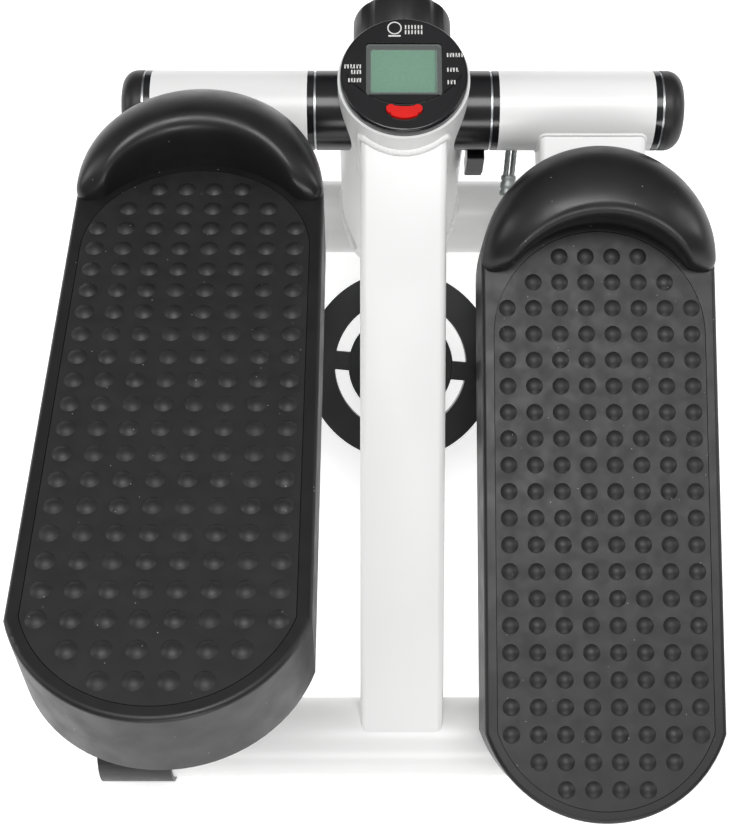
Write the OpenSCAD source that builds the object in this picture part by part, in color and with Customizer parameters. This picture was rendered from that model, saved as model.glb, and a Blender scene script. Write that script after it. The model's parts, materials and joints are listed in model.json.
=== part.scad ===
// Mini stepper: two pedals that pivot on one cross shaft, tied together by a cable
// round a pulley and slowed by two hydraulic dampers, on a welded tube frame.
// Millimetres. +Z up, +Y towards the console, origin on the floor under the middle.

/* [Frame] */
// Length of each bare crossbar tube
crossbar_len = 312; // [290:1:400]
// Outside diameter of the crossbar tubes
crossbar_d = 42; // [36:1:50]
// Wall of the crossbar tubes
crossbar_wall = 2; // [1.5:0.5:4]
// Distance between the two crossbars
crossbar_gap = 307; // [250:1:370]
// Outside diameter of the upright post
post_d = 66; // [56:1:80]
// Wall of the post
post_wall = 3; // [2:0.5:5]
// Height of the top of the post
post_top = 175.3; // [172:1:215]
// Width of the main beam
beam_w = 41; // [34:1:50]
// Depth of the main beam, square to its top face
beam_h = 40; // [32:1:50]
// Wall of the main beam
beam_wall = 2; // [1.5:0.5:4]
// Height at which the beam's top face meets the post
beam_meets_post = 162; // [150:1:172]

/* [Feet] */
// Thickness of a foot under its crossbar
foot_under = 3; // [2:0.5:6]
// Length of a foot along its crossbar
foot_len = 38; // [25:1:55]
// Width of a foot's flat base
foot_base_w = 34; // [26:1:44]

/* [Axle] */
// Height of the pedal axle above the floor
axle_z = 145.4; // [138:1:152]
// Outside diameter of the axle tube and the pivot sleeves
sleeve_d = 40; // [36:1:44]
// Wall of the pivot sleeves
sleeve_wall = 2.5; // [2:0.5:4]
// Diameter of the cross shaft
shaft_d = 20; // [14:1:24]
// Half length of the fixed axle tube
axle_tube_half = 44.2; // [40:0.1:48]
// Length of a pivot sleeve
sleeve_len = 79; // [70:1:90]
// Thickness of a bush flange
flange_t = 3.2; // [2:0.1:5]
// Thickness of a thrust washer
washer_t = 1; // [0.6:0.1:2]

/* [Pedals] */
// Width of a pedal
pedal_w = 116; // [100:1:118]
// Distance from the axle to the front end of a pedal
pedal_front = 28; // [26:1:40]
// Distance from the axle to the rear end of a pedal
pedal_rear = 358.7; // [320:1:400]
// Sideways distance from the middle of the machine to a pedal's middle
pedal_x = 96.5; // [92:0.5:110]
// Height of the tread above the axle, square to the tread
tread_h = 21.4; // [18:0.1:30]
// Depth of a pedal's skirt below its tread
skirt_h = 41; // [32:1:48]
// Wall of a pedal's skirt
pedal_wall = 3; // [2:0.5:4]
// Thickness of the plate under the tread mat
plate_t = 5; // [4:0.5:7]
// Width of the plain border round the tread mat
border_w = 6; // [4:0.5:10]
// Thickness of the tread mat
mat_t = 2; // [1.5:0.5:3]
// Distance between neighbouring studs of the tread
stud_pitch = 13; // [11:0.5:16]
// Diameter of a stud at its foot
stud_d = 8.4; // [6:0.2:10]
// Height of a stud
stud_h = 1.7; // [1:0.1:2.5]
// Number of full rows of eight studs
stud_rows = 17; // [12:1:20]

/* [Toe cap] */
// Height of the toe cap's crest above the tread
toe_h = 30.5; // [20:0.5:36]
// Distance from the axle to the middle of the toe cap's rear lip
toe_lip = 64; // [56:1:72]
// Distance from the axle to the tips of the toe cap
toe_tip = 84; // [78:1:92]

/* [Arms] */
// Width of an arm tube
arm_w = 54; // [40:1:60]
// Depth of an arm tube
arm_h = 25; // [20:1:30]
// Height of an arm's top face above the axle
arm_top = 11; // [8:0.5:14]
// Wall of an arm tube
arm_wall = 2; // [1.5:0.5:3]
// Angle of a fully raised pedal above level
up_angle = 20.1; // [14:0.1:22]
// Angle of a fully lowered pedal below level
down_angle = 10.2; // [4:0.1:11]

/* [Dampers] */
// Distance of a damper's lower pivot behind the axle
damper_foot_y = 28; // [26:0.5:34]
// Height of a damper's lower pivot above the floor
damper_foot_z = 40; // [38:0.5:44]
// Distance of a damper's upper pivot behind the axle, along the arm
damper_top_u = 105; // [104:1:120]
// Depth of a damper's upper pivot below the axle, square to the arm
damper_top_h = 25; // [24:0.5:30]
// Outside diameter of a damper cylinder
damper_d = 26; // [20:1:30]
// Length of a damper cylinder
damper_len = 68; // [60:1:70]
// Diameter of a damper rod
damper_rod_d = 10; // [8:0.5:12]
// Diameter of the damper pivot bolts
damper_bolt_d = 8; // [6:0.5:10]

/* [Pulley and cable] */
// Diameter of the pulley
pulley_d = 103; // [90:1:110]
// Thickness of the pulley
pulley_t = 10; // [8:0.5:14]
// Distance of the pulley's middle plane below the beam's top face
pulley_drop = 61.3; // [58:0.1:66]
// Distance of the pulley's centre from the post, down along the beam
pulley_s = 144.8; // [138:1:155]
// Diameter of the wire rope
cable_d = 3; // [2:0.5:4]
// Sideways distance from the middle to a cable lug
lug_x = 62; // [58:1:66]
// Distance from the axle to a cable lug's eye
lug_r = 34; // [30:1:38]

/* [Console and knob] */
// Height of the console above the post
console_h = 5; // [4:0.5:8]
// Depth of the console inside the post
console_depth = 9; // [7:0.5:9]
// Width of the display window
window_w = 38; // [30:1:42]
// Height of the display window
window_h = 29; // [22:1:32]
// Diameter of the front knob
knob_d = 51; // [40:1:60]
// Length of the front knob
knob_len = 19; // [14:1:26]
// Height of the front knob's axis
knob_z = 143; // [138:1:150]

/* [Fits] */
// Radial clearance of a shaft in its bush
running = 0.05; // [0.02:0.01:0.1]
// Gap between faces that move past each other
face_gap = 0.2; // [0.2:0.05:0.5]
// Gap round a piece that drops into its seat
seat_gap = 0.3; // [0.2:0.05:0.5]
// Radial clearance of a damper's upper pivot, which takes up its sideways wander
damper_slack = 1.1; // [1:0.1:1.5]

/* [Hidden] */
$fn = 64;
LEFT = -1;
RIGHT = 1;

white = "#f1f1ef";
soft_black = "#2b2a2b";
gloss_black = "#141416";
zinc = "#c3c6c8";
rope_grey = "#8d9290";

// Where things stand
boss_t = 4;
crossbar_r = crossbar_d / 2;
crossbar_z = crossbar_r + foot_under;
post_r = post_d / 2;
sleeve_r = sleeve_d / 2;
shaft_r = shaft_d / 2;
post_bottom = crossbar_z - 6;
sleeve_x = axle_tube_half + washer_t + face_gap + flange_t;
sleeve_end = sleeve_x + sleeve_len;
outer_washer_x = sleeve_end + flange_t + face_gap;
cap_x = outer_washer_x + washer_t;
cap_len = 11;
bush_len = 24;
rear_reach = pedal_rear * cos(down_angle) + tread_h * sin(down_angle);
front_reach = post_r + boss_t + face_gap + knob_len;
axle_y = (rear_reach - front_reach) / 2;

// Main beam: its top face runs from the crest of the rear crossbar to the post
beam_slope = atan((beam_meets_post - crossbar_z - crossbar_r) / (crossbar_gap - post_r));
beam_z0 = beam_meets_post + post_r * tan(beam_slope);
beam_reach = crossbar_gap / cos(beam_slope) + 20;

// Pedal outline
front_r = pedal_w / 2;
rear_r = pedal_w / 2 + 3;
front_c = pedal_front + front_r;
rear_c = pedal_rear - rear_r;
skirt_lo = tread_h - skirt_h;
edge_r = 2.2;
mat_front_r = pedal_w / 2 - border_w;
mat_front = toe_lip + 6;
mat_front_c = mat_front + mat_front_r;
stud_rear_u = pedal_rear - border_w - 10.1;
arm_len = pedal_rear - 25;
arm_lo = arm_top - arm_h;
bolt_us = [150, 300];
bolt_x = 15;
pedal_bolt_r = 3;

// Pulley and cable
groove_r = pulley_d / 2 - 3;
cable_r = cable_d / 2;
hub_t = pulley_t + 1;
hub_r = 13;
pulley_bolt_r = 5;
bush_t = 2;
swing = up_angle + down_angle;
mid_angle = (up_angle - down_angle) / 2;
eye_r = 3;
eye_wire_r = 1.3;
eye_neck = 8;
lug_t = 2.6;
ferrule_len = 12;

// Dampers
eye_w = 14;
damper_eye_r = 9;
bush_r = 7;
ear_t = 4;
ear_gap = eye_w / 2 + 1;
piston_t = 8;
damper_wall = 2;
head_len = 6;

// Raise of an arm above level, in degrees, at rest
function raise(side) = side == LEFT ? up_angle : -down_angle;
// A point of an arm, u behind the axle and h above it, as [Y from the axle, Z]
function arm_point(side, u, h) = [-u * cos(raise(side)) + h * sin(raise(side)),
  axle_z + u * sin(raise(side)) + h * cos(raise(side))];
function damper_span(side) = arm_point(side, damper_top_u, -damper_top_h)
  - [-damper_foot_y, damper_foot_z];
function damper_angle(side) = atan2(damper_span(side)[1], damper_span(side)[0]);
function damper_reach(side) = norm(damper_span(side));

// Frames of reference
module at_axle() translate([0, axle_y, axle_z]) children();
module on_side(side) mirror([side == LEFT ? 1 : 0, 0, 0]) children();
// Arm: +X outwards, -Y back along the arm, +Z square to the tread
module arm_frame(side) at_axle() rotate([-raise(side), 0, 0]) on_side(side) children();
// Pedal: as the arm, but centred on the pedal
module pedal_frame(side) arm_frame(side) translate([pedal_x, 0, 0]) children();
// Beam: +Y up along it, +Z square to its top face, from under the post's axis
module beam_frame() translate([0, axle_y, beam_z0]) rotate([beam_slope, 0, 0]) children();
module pulley_frame() beam_frame() translate([0, -pulley_s, -pulley_drop]) children();
// Damper: +Y from its lower pivot to its upper one
module damper_frame(side) on_side(side)
  translate([pedal_x, axle_y - damper_foot_y, damper_foot_z])
    rotate([damper_angle(side), 0, 0]) children();

// Bars and rings along X and Y
module x_bar(r, x0, x1) translate([x0, 0, 0]) rotate([0, 90, 0]) cylinder(r = r, h = x1 - x0);
module y_bar(r, y0, y1) translate([0, y0, 0]) rotate([-90, 0, 0]) cylinder(r = r, h = y1 - y0);
module x_ring(r, hole, x0, x1) difference() {
  x_bar(r, x0, x1);
  x_bar(hole, x0 - 1, x1 + 1);
}
module rod_between(p, q, r) translate(p)
  rotate([0, acos((q - p)[2] / norm(q - p)), atan2((q - p)[1], (q - p)[0])])
    cylinder(r = r, h = norm(q - p));

// Flat shapes
module round_box(w, h, r) {
  square([w - 2 * r, h], center = true);
  square([w, h - 2 * r], center = true);
  for (x = [-1, 1], y = [-1, 1])
    translate([x * (w / 2 - r), y * (h / 2 - r)]) circle(r);
}
module box_tube(w, h, r, t) difference() {
  round_box(w, h, r);
  round_box(w - 2 * t, h - 2 * t, max(r - t, 0.5));
}

// ---------------------------------------------------------------- frame
module crossbar(y) color(white) translate([0, y, crossbar_z])
  x_ring(crossbar_r, crossbar_r - crossbar_wall, -crossbar_len / 2, crossbar_len / 2);
module front_crossbar() crossbar(axle_y);
module rear_crossbar() crossbar(axle_y - crossbar_gap);

module beam_cut() {
  translate([0, axle_y, 0]) cylinder(r = post_r, h = post_top + 60, $fn = 96);
  translate([0, axle_y - crossbar_gap, crossbar_z])
    x_bar(crossbar_r, -beam_w, beam_w);
  translate([-beam_w, axle_y - crossbar_gap - 60, 0]) cube([2 * beam_w, 60, 200]);
  translate([-beam_w, axle_y - crossbar_gap - 60, -20])
    cube([2 * beam_w, 60 + crossbar_r * sin(beam_slope), 20 + crossbar_z]);
}
module main_beam() color(white) difference() {
  beam_frame() translate([0, 0, -beam_h / 2]) rotate([90, 0, 0])
    linear_extrude(beam_reach) box_tube(beam_w, beam_h, 3.5, beam_wall);
  beam_cut();
  pulley_frame() cylinder(r = pulley_bolt_r, h = pulley_drop - beam_h + beam_wall + 1);
}

module front_post() color(white) difference() {
  translate([0, axle_y, post_bottom]) cylinder(r = post_r, h = post_top - post_bottom, $fn = 96);
  translate([0, axle_y, post_bottom - 1])
    cylinder(r = post_r - post_wall, h = post_top, $fn = 96);
  translate([0, axle_y, crossbar_z]) x_bar(crossbar_r, -post_d, post_d);
  at_axle() x_bar(sleeve_r, -post_d, post_d);
  translate([0, axle_y, knob_z]) y_bar(7, 0, post_d);
}

module axle_tube() color(gloss_black) at_axle()
  x_ring(sleeve_r, shaft_r, -axle_tube_half, axle_tube_half);

module axle_shaft() color(zinc) at_axle() {
  x_bar(shaft_r, -cap_x, cap_x);
  x_bar(shaft_r * 0.6, -cap_x - 8, cap_x + 8);
}
module axle_nuts() color(zinc) at_axle() for (side = [LEFT, RIGHT]) on_side(side)
  difference() {
    translate([cap_x, 0, 0]) rotate([0, 90, 0]) cylinder(r = 10.5, h = 6.5, $fn = 6);
    x_bar(shaft_r * 0.6, cap_x - 1, cap_x + 9);
  }

// ---------------------------------------------------------------- feet
// A moulded cap over the end of a crossbar, with a flat base on the floor
module foot(side, y) color(soft_black) on_side(side)
  translate([crossbar_len / 2 + 3 - foot_len, y, 0]) difference() {
    union() {
      translate([0, 0, crossbar_z]) x_bar(crossbar_r + 2.5, 0, foot_len);
      translate([0, -foot_base_w / 2, 0]) cube([foot_len, foot_base_w, crossbar_z * 0.55]);
      translate([-1, -foot_base_w / 2 - 1.5, 0]) cube([foot_len + 2, foot_base_w + 3, 2.5]);
    }
    translate([0, 0, crossbar_z]) x_bar(crossbar_r, -2, foot_len - 3);
    for (x = [9, 29]) translate([x, 0, -1]) cylinder(r = 3, h = 2.2);
  }
module front_left_foot() foot(LEFT, axle_y);
module front_right_foot() foot(RIGHT, axle_y);
module rear_left_foot() foot(LEFT, axle_y - crossbar_gap);
module rear_right_foot() foot(RIGHT, axle_y - crossbar_gap);

// ---------------------------------------------------------------- console
console_r = post_r - 1.3;
console_in_r = post_r - post_wall - 0.1;
console_top = post_top + console_h;
shelf_drop = 0.8;
window_y = 3;
panel_drop = 2.6;
battery_t = 3.2;

module at_console() translate([0, axle_y, console_top]) children();
// Outline of the crescent button, grown by g
module button_plan(g) {
  difference() {
    intersection() {
      translate([0, -11.5]) circle(13.2 + g);
      translate([-6.6, -30]) square([13.2, 20]);
    }
    translate([0, 7.5]) circle(26 - g);
  }
  for (x = [-1, 1]) translate([x * 6.6, -19.6]) circle(2.3 + g);
}
module console_disc() rotate_extrude($fn = 96) {
  translate([0, -console_h]) square([console_r, console_h - 1.5]);
  translate([0, -2]) square([console_r - 1.5, 2]);
  translate([console_r - 1.5, -1.5]) circle(1.5);
}
module console_housing() color(soft_black) at_console() difference() {
  union() {
    console_disc();
    translate([0, 0, -console_h - console_depth]) cylinder(r = console_in_r, h = console_depth);
  }
  translate([0, 0, -console_h - console_depth - 1])
    cylinder(r = console_in_r - 2, h = console_depth + 2);
  translate([0, window_y, -panel_drop]) linear_extrude(panel_drop + 1)
    round_box(window_w, window_h, 2);
  translate([0, window_y, -console_h - 2]) linear_extrude(console_h + 2)
    round_box(window_w - 5, window_h - 5, 1);
  translate([0, 0, -shelf_drop]) linear_extrude(2) difference() {
    circle(console_r - 3.4);
    translate([0, 16]) circle(32.5);
  }
  translate([0, 0, -console_h - 1]) linear_extrude(console_h + 2) button_plan(seat_gap);
}
module display_window() color([0.8, 0.9, 0.85, 0.35]) at_console()
  translate([0, window_y, -panel_drop]) linear_extrude(1.4)
    round_box(window_w - 0.4, window_h - 0.4, 1.8);
module display_panel() color("#5f9b7c") at_console()
  translate([0, window_y, -console_h - 1.5]) difference() {
    linear_extrude(console_h - panel_drop + 1.5) round_box(window_w - 5.4, window_h - 5.4, 1);
    translate([0, 0, -1]) linear_extrude(1.5) round_box(window_w - 12, window_h - 12, 1);
  }
module reset_button() color("#e8170f") at_console() {
  translate([0, 0, -console_h]) linear_extrude(console_h + 0.7) button_plan(0);
  translate([0, -20, -console_h - 1.2]) cylinder(r = 3.4, h = 1.3);
}
module circuit_board() color("#2f6b45") at_console()
  translate([0, 0, -console_h - 5]) difference() {
    cylinder(r = console_in_r - 2.3, h = 1.6);
    for (x = [-1, 1]) translate([x * 22, 8, -1]) cylinder(r = 1.5, h = 4);
  }
module battery() color(zinc) at_console() translate([0, 0, -console_h - 5 - battery_t])
  cylinder(r = 10, h = battery_t);

knob_y0 = post_r + boss_t + face_gap;
screw_r = 5;
module adjuster_boss() color(white) translate([0, axle_y, knob_z]) difference() {
  y_bar(11, post_r - 6, post_r + boss_t);
  y_bar(screw_r + running, 0, post_d);
  translate([0, 0, -knob_z]) cylinder(r = post_r, h = post_top);
}
module adjuster_screw() color(zinc) translate([0, axle_y, knob_z])
  y_bar(screw_r, post_r - 10, knob_y0 + knob_len - 6);
module adjuster_knob() color(soft_black) translate([0, axle_y + knob_y0, knob_z])
  difference() {
    rotate([-90, 0, 0]) rotate_extrude($fn = 96) {
      square([knob_d / 2, knob_len - 5]);
      square([knob_d / 2 - 5, knob_len]);
      translate([knob_d / 2 - 5, knob_len - 5]) circle(5);
    }
    for (a = [45 : 90 : 315]) rotate([0, a, 0]) translate([knob_d / 2 + 3.2, 0, 0])
      y_bar(6, -1, knob_len + 1);
    y_bar(screw_r + running, -1, knob_len - 6);
    difference() {
      y_bar(knob_d / 2 - 7, -1, knob_len - 5);
      y_bar(10, -2, knob_len);
      for (a = [0 : 60 : 300]) rotate([0, a, 0])
        translate([0, -2, -1.2]) cube([knob_d, knob_len, 2.4]);
    }
  }

// ---------------------------------------------------------------- pulley and cable
module pulley() color(soft_black) pulley_frame() difference() {
  union() {
    rotate_extrude($fn = 120) difference() {
      translate([hub_r - 2, -pulley_t / 2]) square([pulley_d / 2 - hub_r + 2, pulley_t]);
      translate([pulley_d / 2, 0]) polygon([[1, -3.2], [1, 3.2], [-3, cable_r], [-3, -cable_r]]);
      translate([groove_r, 0]) circle(cable_r + 0.2, $fn = 24);
      for (z = [-1, 1]) translate([16, z > 0 ? 2.5 : -pulley_t / 2 - 1])
        square([12, pulley_t / 2 - 1.5]);
    }
    translate([0, 0, -hub_t / 2]) cylinder(r = hub_r, h = hub_t);
  }
  translate([0, 0, -hub_t]) cylinder(r = pulley_bolt_r + running + bush_t, h = 2 * hub_t);
  // Four curved windows, split by the spokes
  difference() {
    translate([0, 0, -pulley_t]) cylinder(r = 36, h = 2 * pulley_t);
    translate([0, 0, -pulley_t - 1]) cylinder(r = 28.5, h = 2 * pulley_t + 2);
    for (a = [0, 90]) rotate([0, 0, a - 5])
      cube([100, 10, 3 * pulley_t], center = true);
  }
}
module pulley_bush() color("#b08a4a") pulley_frame() difference() {
  translate([0, 0, -hub_t / 2]) cylinder(r = pulley_bolt_r + running + bush_t, h = hub_t);
  translate([0, 0, -hub_t]) cylinder(r = pulley_bolt_r + running, h = 2 * hub_t);
}
module pulley_spacer() color(zinc) pulley_frame() difference() {
  translate([0, 0, hub_t / 2 + face_gap])
    cylinder(r = 10, h = pulley_drop - beam_h - hub_t / 2 - face_gap);
  cylinder(r = pulley_bolt_r, h = pulley_drop);
}
// Bolt with a washer under its head, and a nut inside the beam
module pulley_bolt() color(zinc) pulley_frame() {
  translate([0, 0, -hub_t / 2 - face_gap - 1.5]) cylinder(r = 10, h = 1.5);
  translate([0, 0, -hub_t / 2 - face_gap - 8]) cylinder(r = 9, h = 6.5, $fn = 6);
  translate([0, 0, -hub_t / 2 - face_gap - 1.5])
    cylinder(r = pulley_bolt_r, h = pulley_drop - beam_h + hub_t / 2 + 13);
  translate([0, 0, pulley_drop - beam_h + beam_wall]) cylinder(r = 9, h = 8, $fn = 6);
}

// The lug's eye in the pulley's frame, for a mid-swing angle turned by the arm's rest angle
function lug_turn(side) = raise(side) - mid_angle;
function lug_eye(side) = [side * lug_x,
  pulley_s - (beam_z0 - axle_z) * sin(beam_slope) - lug_r * sin(lug_turn(side)),
  pulley_drop - (beam_z0 - axle_z) * cos(beam_slope) - lug_r * cos(lug_turn(side))];
// Angle, round the pulley, at which a strand touches the groove
function touch_angle(side) = atan2(lug_eye(side)[1], lug_x)
  - acos(groove_r / norm([lug_x, lug_eye(side)[1]]));
function touch_point(side) = [side * groove_r * cos(touch_angle(side)),
  groove_r * sin(touch_angle(side)), 0];

// Direction of the strand at its lug, and where it leaves its ferrule
function unit(v) = v / norm(v);
function strand_way(side) = unit(lug_eye(side) - touch_point(side));
function rope_end(side) = lug_eye(side) - strand_way(side) * (eye_r + eye_neck + ferrule_len);

// Wire rope from ferrule to ferrule, round the rear of the pulley
rope_steps = 36;
rope_sides = 8;
arc_start = 180 - touch_angle(LEFT);
arc_turn = 180 + touch_angle(LEFT) + touch_angle(RIGHT);
rope_route = concat([rope_end(LEFT)],
  [for (k = [0 : rope_steps]) let (a = arc_start + arc_turn * k / rope_steps)
    [groove_r * cos(a), groove_r * sin(a), 0]],
  [rope_end(RIGHT)]);
function rope_way(i) = unit(rope_route[min(i + 1, len(rope_route) - 1)]
  - rope_route[max(i - 1, 0)]);
function rope_ring(i) = let (side_way = unit(cross(rope_way(i), [0, 0, 1])))
  [for (j = [0 : rope_sides - 1]) let (a = 360 * j / rope_sides)
    rope_route[i] + cable_r * (cos(a) * side_way + sin(a) * [0, 0, 1])];
module cable() color(rope_grey) pulley_frame() {
  m = len(rope_route);
  n = rope_sides;
  polyhedron([for (i = [0 : m - 1]) each rope_ring(i)], concat(
    [for (i = [0 : m - 2], j = [0 : n - 1])
      [i * n + j, (i + 1) * n + j, (i + 1) * n + (j + 1) % n, i * n + (j + 1) % n]],
    [[for (j = [0 : n - 1]) j]], [[for (j = [n - 1 : -1 : 0]) (m - 1) * n + j]]));
}

// End of the rope: an eye through the lug, crimped in an oval ferrule
module cable_end(side) color(rope_grey) pulley_frame() translate(lug_eye(side))
  rotate([0, -asin(strand_way(side)[2]), atan2(strand_way(side)[1], strand_way(side)[0])])
    translate([-eye_r, 0, 0]) {
      rotate([0, 0, -90]) rotate_extrude(angle = 180, $fn = 48)
        translate([eye_r, 0]) circle(eye_wire_r, $fn = 24);
      for (s = [-1, 1]) translate([0, s * eye_r, 0]) x_bar(eye_wire_r, -eye_neck, 0, $fn = 24);
      translate([-eye_neck - ferrule_len, 0, 0]) rotate([90, 0, 90])
        linear_extrude(ferrule_len) round_box(2 * eye_r + 3.4, 4.4, 2.1);
    }
module left_cable_end() cable_end(LEFT);
module right_cable_end() cable_end(RIGHT);

module cable_lug(side) color(gloss_black) arm_frame(side)
  rotate([mid_angle + beam_slope, 0, 0]) translate([lug_x, 0, 0]) difference() {
    union() {
      translate([-5, -7, -sleeve_r - 3]) cube([10, 14, 8]);
      translate([-lug_t / 2, -5, -lug_r]) cube([lug_t, 10, lug_r - sleeve_r + 2]);
      translate([0, 0, -lug_r]) x_bar(5.5, -lug_t / 2, lug_t / 2);
    }
    x_bar(sleeve_r, -10, 10);
    translate([0, 0, -lug_r]) x_bar(2.6, -5, 5);
  }
module left_cable_lug() cable_lug(LEFT);
module right_cable_lug() cable_lug(RIGHT);

// Reed sensor that counts the steps, clipped under the axle tube
module sensor_block() color(gloss_black) at_axle() difference() {
  union() {
    translate([34, -20, -30]) cube([9, 16, 16]);
    translate([34, -17, -38]) cube([9, 10, 10]);
  }
  x_bar(sleeve_r, 0, 60);
  translate([30, -12, -33]) x_bar(1.2, 0, 20);
}

// ---------------------------------------------------------------- arms
module sleeve(side) color(white) arm_frame(side)
  x_ring(sleeve_r, sleeve_r - sleeve_wall, sleeve_x, sleeve_end);
module left_sleeve() sleeve(LEFT);
module right_sleeve() sleeve(RIGHT);

module ear(x) translate([x, -damper_top_u, -damper_top_h]) difference() {
  union() {
    x_bar(damper_eye_r + 1, 0, ear_t);
    translate([0, -damper_eye_r - 1, 0])
      cube([ear_t, 2 * damper_eye_r + 2, damper_top_h + arm_lo]);
  }
  x_bar(damper_bolt_d / 2, -1, ear_t + 1);
}
module arm(side) color(white) pedal_frame(side) {
  difference() {
    translate([0, 0, (arm_top + arm_lo) / 2]) rotate([90, 0, 0])
      linear_extrude(arm_len) box_tube(arm_w, arm_h, 3, arm_wall);
    x_bar(sleeve_r, -arm_w, arm_w);
    translate([-arm_w, 0, -50]) cube([2 * arm_w, 50, 100]);
    for (u = bolt_us, x = [-bolt_x, bolt_x]) translate([x, -u, arm_lo - 1])
      cylinder(r = pedal_bolt_r, h = arm_h + 2);
  }
  ear(ear_gap);
  ear(-ear_gap - ear_t);
}
module left_arm() arm(LEFT);
module right_arm() arm(RIGHT);

// Flanged bush, pressed into one end of a sleeve; it turns on the shaft
module bush(side, outer) color(gloss_black) arm_frame(side)
  translate([outer ? sleeve_end : sleeve_x, 0, 0]) mirror([outer ? 1 : 0, 0, 0])
    difference() {
      union() {
        x_bar(sleeve_r - sleeve_wall, 0, bush_len);
        x_bar(sleeve_r, -flange_t, 0);
      }
      x_bar(shaft_r + running, -flange_t - 1, bush_len + 1);
    }
module left_inner_bush() bush(LEFT, false);
module left_outer_bush() bush(LEFT, true);
module right_inner_bush() bush(RIGHT, false);
module right_outer_bush() bush(RIGHT, true);

module washers(side) color(zinc) at_axle() on_side(side)
  for (x = [axle_tube_half, outer_washer_x]) x_ring(sleeve_r - 0.6, shaft_r, x, x + washer_t);
module left_washers() washers(LEFT);
module right_washers() washers(RIGHT);

// Domed cap over the end of the shaft and its nut
module end_cap(side) color(soft_black) at_axle() on_side(side) translate([cap_x, 0, 0])
  rotate([0, 90, 0]) rotate_extrude($fn = 96) difference() {
    union() {
      square([sleeve_r, cap_len - 8]);
      square([sleeve_r - 8, cap_len]);
      translate([sleeve_r - 8, cap_len - 8]) circle(8);
    }
    translate([-1, -1]) square([12.5, cap_len - 1.5]);
    translate([-1, -20]) square([sleeve_r + 10, 20]);
  }
module left_end_cap() end_cap(LEFT);
module right_end_cap() end_cap(RIGHT);

// ---------------------------------------------------------------- pedals
// A disc and a bar with their top edges rounded by e
module round_disc(r, z0, z1, e) rotate_extrude($fn = 120) {
  translate([0, z0]) square([r, z1 - z0 - e]);
  translate([0, z0]) square([r - e, z1 - z0]);
  translate([r - e, z1 - e]) circle(e, $fn = 24);
}
module round_bar(w, z0, z1, e, y0, y1) translate([0, y1, 0]) rotate([90, 0, 0])
  linear_extrude(y1 - y0) {
    translate([-w / 2, z0]) square([w, z1 - z0 - e]);
    translate([-w / 2 + e, z0]) square([w - 2 * e, z1 - z0]);
    for (x = [-1, 1]) translate([x * (w / 2 - e), z1 - e]) circle(e, $fn = 24);
  }
// Outline of the pedal: a half round front, straight sides and a flatter round rear
module pedal_plan(inset) intersection() {
  translate([-pedal_w / 2 + inset, -pedal_rear]) square([pedal_w - 2 * inset, pedal_rear]);
  union() {
    translate([0, -front_c]) circle(front_r - inset, $fn = 120);
    translate([0, -rear_c]) circle(rear_r - inset, $fn = 120);
    translate([-pedal_w, -rear_c]) square([2 * pedal_w, rear_c - front_c]);
  }
}
module pedal_block() intersection() {
  round_bar(pedal_w, skirt_lo, tread_h, edge_r, -pedal_rear - 5, 0);
  union() {
    translate([0, -front_c, 0]) round_disc(front_r, skirt_lo, tread_h, edge_r);
    translate([0, -rear_c, 0]) round_disc(rear_r, skirt_lo, tread_h, edge_r);
    translate([-pedal_w, -rear_c, skirt_lo])
      cube([2 * pedal_w, rear_c - front_c, tread_h - skirt_lo]);
  }
}
// Outline of the tread mat: its own rounder front behind the toe cap
module mat_plan(inset) intersection() {
  translate([-mat_front_r + inset, -pedal_rear]) square([2 * (mat_front_r - inset), pedal_rear]);
  union() {
    translate([0, -mat_front_c]) circle(mat_front_r - inset, $fn = 120);
    translate([0, -rear_c]) circle(rear_r - border_w - inset, $fn = 120);
    translate([-pedal_w, -rear_c]) square([2 * pedal_w, rear_c - mat_front_c]);
  }
}
module arm_way() translate([-arm_w / 2 - 1, -arm_len - 1, skirt_lo - 1])
  cube([arm_w + 2, arm_len + 1, arm_top - skirt_lo + 1]);
module pedal(side) color(soft_black) pedal_frame(side) {
  difference() {
    pedal_block();
    translate([0, 0, skirt_lo - 1])
      linear_extrude(skirt_h - plate_t + 1) pedal_plan(pedal_wall);
    translate([0, 0, tread_h - mat_t]) linear_extrude(mat_t + 1) mat_plan(-seat_gap);
    translate([-arm_w / 2 - 1, -front_c, skirt_lo - 1])
      cube([arm_w + 2, front_c, arm_top - skirt_lo + 1]);
  }
  // Ribs under the plate, cut away round the arm
  difference() {
    translate([0, 0, arm_lo + 4]) linear_extrude(tread_h - plate_t - arm_lo - 4)
      intersection() {
        pedal_plan(pedal_wall);
        union() {
          for (u = [70 : 40 : 330]) translate([-pedal_w / 2, -u - 1]) square([pedal_w, 2]);
          for (x = [-40, 0, 40]) translate([x - 1, -pedal_rear]) square([2, pedal_rear]);
        }
      }
    arm_way();
    for (u = bolt_us, x = [-bolt_x, bolt_x]) translate([x, -u, 0])
      cylinder(r = 7, h = tread_h);
  }
  // Bosses that the pedal bolts screw into
  for (u = bolt_us, x = [-bolt_x, bolt_x]) translate([x, -u, arm_top]) difference() {
    cylinder(r = 7, h = tread_h - plate_t - arm_top);
    translate([0, 0, -1]) cylinder(r = pedal_bolt_r, h = 10);
  }
}
module left_pedal() pedal(LEFT);
module right_pedal() pedal(RIGHT);

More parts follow.
